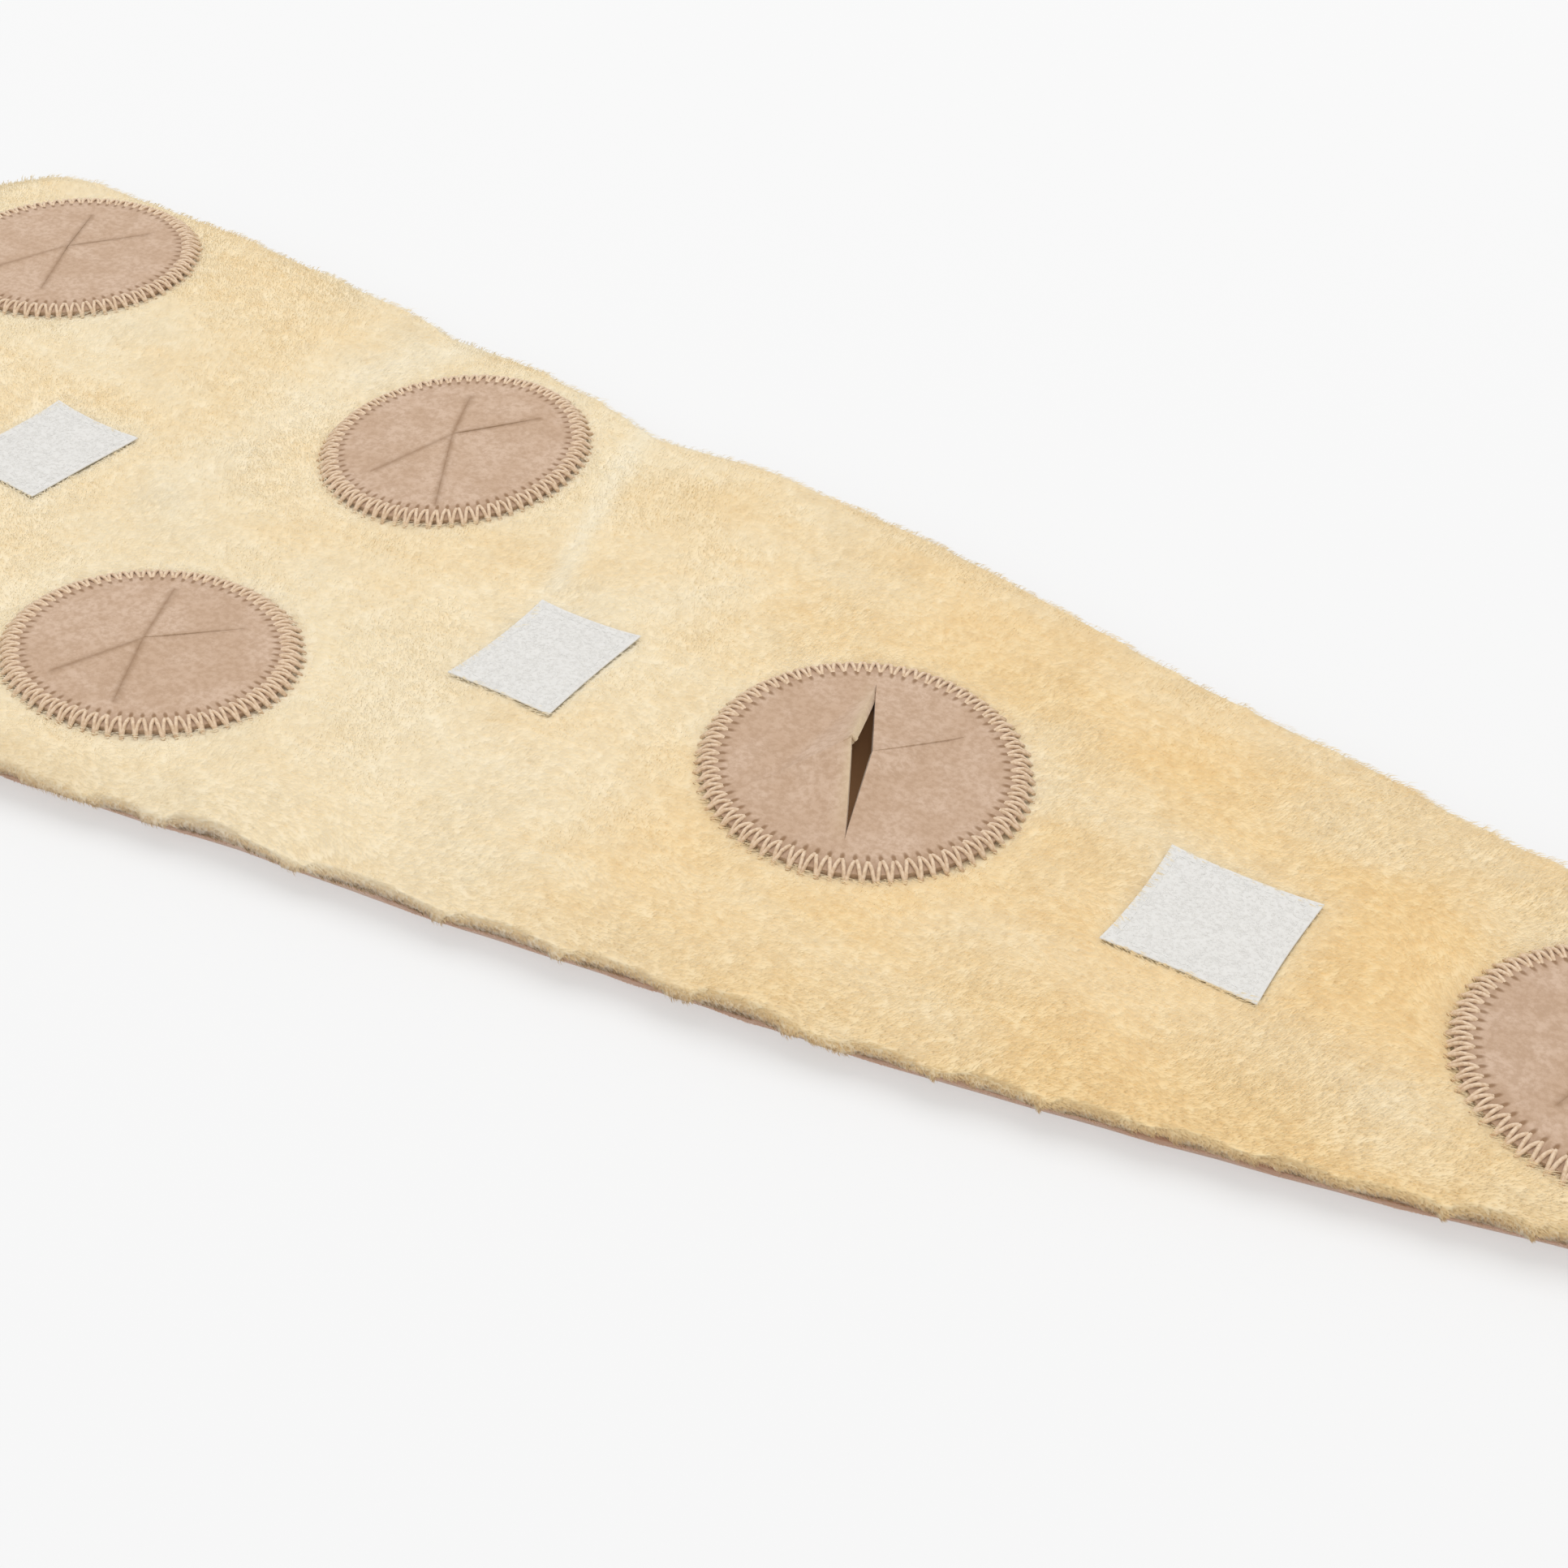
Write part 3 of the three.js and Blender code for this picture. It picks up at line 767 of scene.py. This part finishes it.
def curled_edge(disc, flap, angle, edge_distance, reach):
    """How far the free edge of a lifted flap curls up, so that its cut side shows."""
    steep = math.radians(disc["rays"][1])
    towards_steep = abs(math.sin(angle - steep)) < 0.45 or reach < 0.02
    curl = 0.35 * math.exp(-edge_distance / (1.5 * MM)) if towards_steep else 0.0
    ridge = 0.7 * math.exp(-edge_distance / (4 * MM)) if flap == 1 and not towards_steep else 0.0
    ridge *= min(1.0, reach / 0.35)
    return (curl + ridge) * min(1.0, 1.6 * max(0.0, 1 - reach)) * MM


def slit_edge(disc, x, y):
    """How dark the felt is from the shade of a closed slit."""
    dark = np.zeros_like(x)
    x = x - disc["off"][0] * MM
    y = y - disc["off"][1] * MM
    for ray, cut, shade in zip(disc["rays"], disc["cuts"], disc["shades"]):
        turn = math.radians(ray)
        along = x * math.cos(turn) + y * math.sin(turn)
        aside = x * math.sin(turn) - y * math.cos(turn)
        near = np.exp(-((aside / (0.85 * MM)) ** 2)) * (along > 0) * (along < cut * MM)
        dark = np.maximum(dark, shade * near)
    return dark


def strands(name, paths, thickness_mm, material):
    """One mesh of many short six-sided threads, each along a path of equally many points."""
    sides = 6
    paths = np.asarray(paths, float)
    count, steps = paths.shape[:2]
    ahead = np.gradient(paths, axis=1)
    ahead /= np.linalg.norm(ahead, axis=2, keepdims=True)
    up = np.zeros_like(ahead)
    up[:, :, 2] = 1
    side = np.cross(ahead, up)
    side /= np.maximum(np.linalg.norm(side, axis=2, keepdims=True), 1e-9)
    over = np.cross(side, ahead)
    angles = np.arange(sides) * 2 * math.pi / sides
    ringed = (
        paths[:, :, None, :]
        + thickness_mm / 2 * MM * np.cos(angles)[None, None, :, None] * side[:, :, None, :]
        + thickness_mm / 2 * MM * np.sin(angles)[None, None, :, None] * over[:, :, None, :]
    )
    points = ringed.reshape(-1, 3)
    index = np.arange(count * steps * sides).reshape(count, steps, sides)
    a, b = index[:, :-1], index[:, 1:]
    turned_a, turned_b = np.roll(a, -1, axis=2), np.roll(b, -1, axis=2)
    walls = np.stack([a, turned_a, turned_b, b], axis=-1).reshape(-1, 4)
    caps = []
    for end, order in ((index[:, 0], (0, 3, 2, 1)), (index[:, -1], (0, 1, 2, 3))):
        first = end[:, [0, 1, 2, 3]][:, order]
        second = end[:, [0, 3, 4, 5]][:, order]
        caps += [first, second]
    faces = np.concatenate([walls] + caps)[:, ::-1]
    return piece_from_arrays(name, points, faces, material)


def overcast(disc, bed, cloth, material):
    """Zigzag of thread round a disc, over its edge, from hole to hole."""
    name, centre, radius = disc["name"], disc["middle"], disc["radius"]
    dice = np.random.default_rng(SEED + int(abs(centre.x) * 1000))
    paths = []
    steps = np.linspace(0, 1, 8)
    arch = np.array([-1.3, -0.5, 0.0, 0.3, 0.42, 0.4, 0.2, -0.7]) * MM
    for leg in range(STITCHES * 2):
        inward = leg % 2 == 0
        inner = ((leg + (0 if inward else 1)) / 2 + dice.uniform(-0.07, 0.07)) / STITCHES
        outer = ((leg + (1 if inward else 0)) / 2 + dice.uniform(-0.08, 0.08)) / STITCHES
        near_in = radius - (STITCH_IN + dice.uniform(-0.3, 0.3)) * MM
        near_out = radius + (STITCH_OUT + dice.uniform(-0.3, 0.3)) * MM
        turn = 2 * math.pi * (inner + (outer - inner) * steps)
        away = near_in + (near_out - near_in) * steps
        x, y = out_of_round(disc, away * np.cos(turn), away * np.sin(turn))
        felt_top = bed_height(bed, x, y) + (FELT + AIR) * MM - pressed_down(away - radius)
        ground = np.array([height_on(cloth, px, py) for px, py in zip(x, y)]) + 0.7 * MM
        off_felt = np.clip((away - radius + 0.6 * MM) / (1.2 * MM), 0, 1)
        z = felt_top * (1 - off_felt) + ground * off_felt + arch
        paths.append(np.stack([x, y, z], axis=1))
    thread = strands(name + "_stitching", paths, THREAD, material)
    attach(thread, "root")
    return thread


def height_on(cloth, x, y):
    """Height of the cloth's top at a place."""
    above = Vector((x, y, 100 * MM))
    hit = cloth.ray_cast(above, Vector((0, 0, -1)))[0] or cloth.find_nearest(above)[0]
    return hit.z


def square_point(square, u, v):
    """A place on a square of tape, u and v from -1 to 1, its sides drawn in a little."""
    centre = square["middle"]
    turn = math.radians(square["turn"])
    drawn_in = 0.7
    along = u * (square["along"] / 2 - drawn_in * (1 - v * v)) * MM
    across = v * (square["across"] / 2 - drawn_in * (1 - u * u)) * MM
    x = centre.x + along * math.cos(turn) - across * math.sin(turn)
    y = centre.y + along * math.sin(turn) + across * math.cos(turn)
    return x, y


def square_height(square, bed, u, v):
    """Height of a square's face: a little lower along its stitching, higher at its corners."""
    x, y = square_point(square, u, v)
    corner = 0.3 * MM * (abs(u) * abs(v)) ** 4
    edge = max(abs(u), abs(v))
    sewn = 0.08 * MM * math.exp(-(((edge - 0.86) / 0.07) ** 2))
    return bed_height(bed, x, y) + TAPE_TOP * MM + corner - sewn


def tape_square(square, bed, material):
    """A square of loop tape, pressed in along its stitching, with lifted corners."""
    name = square["name"]
    mesh = bmesh.new()
    bmesh.ops.create_grid(mesh, x_segments=28, y_segments=28, size=1)
    for point in mesh.verts:
        u, v = point.co.x, point.co.y
        point.co = (*square_point(square, u, v), square_height(square, bed, u, v))
    tape = piece_from(name + "_tape", mesh, material)
    thick = tape.modifiers.new("thickness", "SOLIDIFY")
    thick.thickness = TAPE_SHEET * MM
    thick.offset = -1
    soften_edges(tape, 0.25)
    shaped(tape)
    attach(tape, "root")
    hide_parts(name)
    return tape


def square_stitching(square, bed, material):
    """Straight stitches round a square of tape, a little in from its edge."""
    reach_u = 1 - 2 * TAPE_INSET / square["along"]
    reach_v = 1 - 2 * TAPE_INSET / square["across"]
    paths = []
    shape = np.array([-0.4, 0.0, 0.04, 0.04, 0.0, -0.4]) * MM
    for side in range(4):
        span = square["across"] if side % 2 else square["along"]
        count = round((span - 2 * TAPE_INSET) / TAPE_STITCH)
        for stitch in range(count):
            row = []
            for k in range(6):
                t = -1 + 2 * (stitch + 0.06 + 0.88 * k / 5) / count
                u, v = [(t, -1), (1, t), (-t, 1), (-1, -t)][side]
                u, v = u * reach_u, v * reach_v
                x, y = square_point(square, u, v)
                row.append((x, y, square_height(square, bed, u, v) + shape[k]))
            paths.append(row)
    thread = strands(square["name"] + "_stitching", paths, TAPE_THREAD, material)
    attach(thread, "root")
    return thread


def tape_loops(square, bed, material):
    """The brushed loops of the tape: small arches of yarn all over it."""
    dice = np.random.default_rng(SEED + int(square["along"]) + round(square["turn"] * 10))
    count = int(square["along"] * square["across"] * LOOPS)
    rows = []
    for _ in range(count):
        u, v = dice.uniform(-0.97, 0.97, 2)
        x, y = square_point(square, u, v)
        z = square_height(square, bed, u, v)
        heading = dice.uniform(0, 2 * math.pi)
        span = dice.uniform(0.5, 1.1) * MM
        rise = dice.uniform(0.08, 0.22) * MM
        ahead = np.array([math.cos(heading), math.sin(heading), 0]) * span
        wide = np.array([-math.sin(heading), math.cos(heading), 0]) * 0.09 * MM
        foot = np.array([x, y, z - 0.05 * MM])
        tall = np.array([0, 0, rise])
        line = [
            foot - ahead / 2, foot - ahead / 3 + tall, foot + ahead / 3 + tall, foot + ahead / 2,
        ]
        rows.append([p + w for p in line for w in (-wide, wide)])
    points = np.array(rows).reshape(-1, 3)
    base = np.arange(count)[:, None, None] * 8
    ladder = np.array([[0, 1, 3, 2], [2, 3, 5, 4], [4, 5, 7, 6]])[None]
    faces = (base + ladder).reshape(-1, 4)[:, ::-1]
    loops = piece_from_arrays(square["name"] + "_loops", points, faces, material)
    loops.visible_shadow = False
    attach(loops, "root")
    return loops


def scattered(data, count, dice, wanted):
    """Random places on a mesh, with their normals, more where wanted is high."""
    data.calc_loop_triangles()
    triangles = np.empty(len(data.loop_triangles) * 3, np.int32)
    data.loop_triangles.foreach_get("vertices", triangles)
    triangles = triangles.reshape(-1, 3)
    points = points_of(data)
    normals = normals_of(data)
    corners = points[triangles]
    sides = corners[:, 1:] - corners[:, :1]
    area = np.linalg.norm(np.cross(sides[:, 0], sides[:, 1]), axis=1)
    weight = area * wanted(corners.mean(axis=1), normals[triangles].mean(axis=1))
    chosen = dice.choice(len(triangles), count, p=weight / weight.sum())
    chosen.sort()
    r1 = np.sqrt(dice.random(count))
    r2 = dice.random(count)
    share = np.stack([1 - r1, r1 * (1 - r2), r1 * r2], axis=1)[:, :, None]
    place = (corners[chosen] * share).sum(axis=1)
    normal = (normals[triangles][chosen] * share).sum(axis=1)
    return place, normal / np.linalg.norm(normal, axis=1, keepdims=True)


def bare_here(x, y):
    """True where a felt disc or a square of tape covers the nap."""
    covered = np.zeros(len(x), bool)
    for disc in DISCS:
        covered |= from_disc(disc, x, y) < disc["radius"] + 0.7 * MM
    for square in SQUARES:
        covered |= from_square(square, x, y) < -0.9 * MM
    return covered


def nap_wanted(places, normals):
    """Nap grows on the top and down over the edge, and a little thicker along the edge."""
    open_top = ~bare_here(places[:, 0], places[:, 1])
    over_rim = normals[:, 2] > np.where(places[:, 1] > 0, 0.3, -0.55)
    clear_of_ground = places[:, 2] > 1.8 * MM
    return open_top * over_rim * clear_of_ground * (1 + 0.5 * (normals[:, 2] < 0.7))


def nap(name, place, normal, length_mm, width_mm, lean, material, dice):
    """One mesh of plush fibres, each a bent kite of two triangles that leans along the toy."""
    count = len(place)
    x, y = place[:, 0], place[:, 1]
    heading = 0.4 * swirl(x, y, 40, 11) + 0.18 * swirl(x, y, 13, 12) + dice.normal(0, 0.13, count)
    hanging = -0.9 * np.clip((0.6 - normal[:, 2]) / 0.6, 0, 1)
    flow = np.stack([np.cos(heading), np.sin(heading), hanging], axis=1)
    flow -= normal * (flow * normal).sum(axis=1)[:, None]
    flow /= np.maximum(np.linalg.norm(flow, axis=1, keepdims=True), 1e-6)
    over_edge = np.clip((0.85 - normal[:, 2]) / 0.8, 0, 1)
    # Painted shade: the near side's nap is tinted golden where the rim turns down, away from the
    # light
    brushed = np.clip((0.985 - normal[:, 2]) / 0.6, 0, 1) * (y < 0)
    tilt = lean - 0.35 * over_edge + 0.06 * swirl(x, y, 30, 13)
    tilt += dice.normal(0, 0.08, count)
    tilt = np.clip(tilt, 0.15, 1.4)[:, None]
    shorter = np.where(y > 0, 0.8, 0.55) * over_edge
    length = length_mm * (1 - shorter) * (1 + 0.18 * dice.normal(0, 1, count))
    length = (length * MM).clip(0.4 * MM)[:, None]
    steep = normal * np.cos(tilt * 0.55) + flow * np.sin(tilt * 0.55)
    shallow = normal * np.cos(tilt * 1.25) + flow * np.sin(tilt * 1.25)
    root = place - normal * 0.25 * MM
    middle = root + steep * length * 0.5
    tip = middle + shallow * length * 0.5
    side = np.cross(normal, flow)
    roll = dice.uniform(-0.2, 0.2, count)[:, None]
    side = side * np.cos(roll) + np.cross(steep, side) * np.sin(roll)
    half = side * width_mm / 2 * MM
    points = np.stack([root, middle + half, middle - half, tip], axis=1).reshape(-1, 3)
    base = np.arange(count)[:, None] * 4
    faces = np.concatenate([base + [[0, 2, 1]], base + [[1, 2, 3]]], axis=1).reshape(-1, 3)
    fibres = piece_from_arrays(name, points, faces, material)
    soft_normal = normal * 0.95 + shallow * 0.12
    soft_normal /= np.linalg.norm(soft_normal, axis=1, keepdims=True)
    fibres.data.normals_split_custom_set_from_vertices(np.repeat(soft_normal, 4, axis=0))
    streak = 0.5 + 0.1 * dice.normal(0, 1, count) + 0.12 * swirl(x, y * 3, 7, 14)
    # tone: random streaks, plus the near rim's painted golden shade
    paint(fibres, "tone", np.repeat(np.clip(streak + 1.1 * brushed, 0, 2), 4))
    # Painted shade: darker fibre roots, darker round the needle holes outside the discs, and
    # darker on the near side's rim as it turns down
    nap_hole_shade = 0.18 * outer_hole_shade(x, y)
    deep = np.maximum(np.tile([0.1, 0.04, 0.03, 0.0], count), np.repeat(nap_hole_shade, 4))
    below = 0.22 * np.clip((0.9 - normal[:, 2]) / 0.6, 0, 1)
    below += 0.14 * np.clip((0.3 - normal[:, 2]) / 0.6, 0, 1)
    deep = np.maximum(deep, np.repeat(below * (y < 0), 4))
    paint(fibres, "root", deep)
    # Painted light: a pale halo round the sewn-on pieces; also paler along the creases
    paint(fibres, "pale", np.repeat(painted_halo_and_crease_pale(x, y), 4))
    return fibres


def outer_hole_shade(x, y):
    """How much painted shade the nap has round a needle hole outside a disc: 1 at the hole, fading
    to 0 around it.
    """
    drawn = np.zeros_like(x)
    for disc in DISCS:
        away = from_disc(disc, x, y) - disc["radius"] - STITCH_OUT * MM
        round_x, round_y = in_round(disc, x, y)
        turn = np.arctan2(round_y, round_x) / (2 * math.pi) * STITCHES + 0.5
        aside = (turn - np.round(turn)) * 2 * math.pi * disc["radius"] / STITCHES
        drawn = np.maximum(drawn, np.exp(-((away / (0.9 * MM)) ** 2) - (aside / (0.8 * MM)) ** 2))
    return drawn


def painted_halo_and_crease_pale(x, y):
    """How pale the nap is at a place: painted light in a halo round the sewn-on pieces, and paler
    along the rolled creases.
    """
    pale = np.zeros_like(x)
    for disc in DISCS:
        away = from_disc(disc, x, y) - disc["radius"]
        pale = np.maximum(pale, 0.2 * np.exp(-((away / (7 * MM)) ** 2)))
    for square in SQUARES:
        away = np.maximum(from_square(square, x, y), 0)
        pale = np.maximum(pale, 0.25 * np.exp(-((away / (5 * MM)) ** 2)))
    for start, end, wide, strength in CREASES:
        away = from_crease(start, end, x, y)
        pale = np.maximum(pale, strength * np.exp(-((away / (wide * MM)) ** 2)))
    return pale


def from_crease(start, end, x, y):
    """Distance from the line of a rolled crease, given by its two ends in millimetres."""
    (x1, y1), (x2, y2) = start, end
    length = math.hypot(x2 - x1, y2 - y1)
    ahead = ((x / MM - x1) * (x2 - x1) + (y / MM - y1) * (y2 - y1)) / length
    aside = ((y / MM - y1) * (x2 - x1) - (x / MM - x1) * (y2 - y1)) / length
    beyond = ahead - np.clip(ahead, 0, length)
    return np.hypot(aside, beyond) * MM


def shaded_by_sewing(points):
    """How deep in shade the ground cloth is: between the stitches of a disc, and in the pocket."""
    shade = np.zeros(len(points))
    for disc in DISCS:
        away = from_disc(disc, points[:, 0], points[:, 1]) - disc["radius"]
        between = 0.05 * np.clip((2.6 * MM - away) / (1.6 * MM), 0, 1)
        inside = np.clip((-2 * MM - away) / (3 * MM), 0, 1)
        shade = np.maximum(shade, np.maximum(between, inside))
    return shade * (points[:, 2] > FLAT_BELOW * MM)


def plush_nap(body, material):
    """The nap of the face, in stretches along the toy."""
    dice = np.random.default_rng(SEED)
    place, normal = scattered(body.data, NAP_FIBRES, dice, nap_wanted)
    order = np.argsort(place[:, 0])
    for number, part in enumerate(np.array_split(order, 4)):
        piece = nap(
            f"plush_nap_{number + 1}", place[part], normal[part], NAP_LENGTH, NAP_WIDTH, NAP_LEAN,
            material, dice,
        )
        piece.visible_shadow = False  # light soaks through real fibres, so they cast none here
        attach(piece, "root")


def back_nap(panel, material):
    """Short nap standing out from the turned-up rim of the back panel."""
    dice = np.random.default_rng(SEED + 1)
    place, normal = scattered(panel.data, RIM_FIBRES, dice, rim_wanted)
    piece = nap("back_rim_nap", place, normal, 1.1, 0.25, 0.95, material, dice)
    piece.visible_shadow = False
    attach(piece, "root")
    return piece


def rim_wanted(places, normals):
    """The rim's outer side, clear of the surface below it."""
    return (normals[:, 2] < 0.5) * (normals[:, 2] > -0.4) * (places[:, 2] > 0.5 * MM)


def back_panel(material):
    """The back panel, flat on the surface with its rim turned up unevenly to the seam."""
    mesh = bmesh.new()
    mesh.from_mesh(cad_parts["back_panel"].data)
    bmesh.ops.remove_doubles(mesh, verts=mesh.verts, dist=1e-6)
    bmesh.ops.recalc_face_normals(mesh, faces=mesh.faces)
    for level in (0.0, BACK_TOP * MM):
        flat = [
            face for face in mesh.faces
            if abs(face.normal.z) > 0.999 and abs(face.calc_center_median().z - level) < 1e-5
        ]
        bmesh.ops.dissolve_faces(mesh, faces=flat)
    bmesh.ops.join_triangles(
        mesh, faces=[face for face in mesh.faces if len(face.verts) == 3],
        angle_face_threshold=3.1, angle_shape_threshold=3.1,
    )
    rim = [edge for edge in mesh.edges if all(len(face.verts) == 4 for face in edge.link_faces)]
    bmesh.ops.subdivide_edges(mesh, edges=rim, cuts=1, smooth=0.0, use_grid_fill=True)
    panel = piece_from("tan_back", mesh, material)
    points = points_of(panel.data)
    x, y, z = points.T
    ragged = np.clip((z - 0.2 * MM) / (2 * MM), 0, 1)
    inward = (RIM_DRAWN_IN - 0.6 * swirl(x, y, 14, 31) * ragged) * MM
    points[:, 0] -= inward * np.sign(x) * np.clip((np.abs(x) - 312 * MM) / (25 * MM), 0, 1)
    points[:, 1] -= inward * np.sign(y) * np.clip(np.abs(y) / (12 * MM), 0, 1)
    set_points(panel.data, points)
    return panel


def main():
    set_up_camera()
    set_up_studio()
    plush = plush_material("pale_plush_velour", "#e9e5d6", "#e7d3a8", "#eae5d6", "#cfa274", 0.45)
    ground = plush_material("pale_plush_ground", "#e6dfcd", "#e4d0a6", "#e6dfcd", "#a87c55", 0.0)
    back = plush_material("tan_plush_velour", "#ecd2bf", "#e0bea6", "#efdccb", "#c69f86", 0.4)
    felt = felt_material("wool_blend_felt", "#ba9d84", "#a5866b", "#c5aa93")
    # The cut sides: paler with fuzz at the cut, and partly painted light for the light shining
    # through the thin edge
    cut_felt = felt_material("cut_felt_edge", "#c0a48a", "#a98d70", "#cbb298")
    thread = thread_material("tan_sewing_thread", "#d9bfa2", "#b7956f")
    white_thread = thread_material("white_sewing_thread", "#d9d8d4", "#cdcbc6")
    tape = loop_tape_material("white_loop_tape", "#d5d3cf", "#cfcdc9")

    body = padded_body(ground)
    beds = settle_body(body)
    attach(body, "root")
    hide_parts("face_panel")
    points = points_of(body.data)
    paint(body, "tone", np.full(len(points), 0.5))
    # Painted light: a pale halo round the sewn-on pieces; also paler along the creases
    paint(body, "pale", painted_halo_and_crease_pale(points[:, 0], points[:, 1]))
    # Painted shade: darker where the rim turns to face down, besides the shade between stitches
    # and in the pocket
    under_rim_shade = 0.32 * np.clip((0.35 - normals_of(body.data)[:, 2]) / 0.5, 0, 1)
    paint(body, "root", np.maximum(shaded_by_sewing(points), under_rim_shade))

    panel = back_panel(back)
    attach(panel, "root")
    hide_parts("back_panel")
    rim_nap = back_nap(panel, back)

    surface = bmesh.new()
    surface.from_mesh(body.data)
    cloth = BVHTree.FromBMesh(surface)
    surface.free()
    for disc in DISCS:
        bed = beds[disc["name"]]
        piece = felt_disc(disc, bed, [felt, cut_felt])
        stitching = overcast(disc, bed, cloth, thread)
    for square in SQUARES:
        bed = beds[square["name"]]
        piece = tape_square(square, bed, tape)
        stitching = square_stitching(square, bed, white_thread)
        loops = tape_loops(square, bed, tape)
    plush_nap(body, plush)


main()
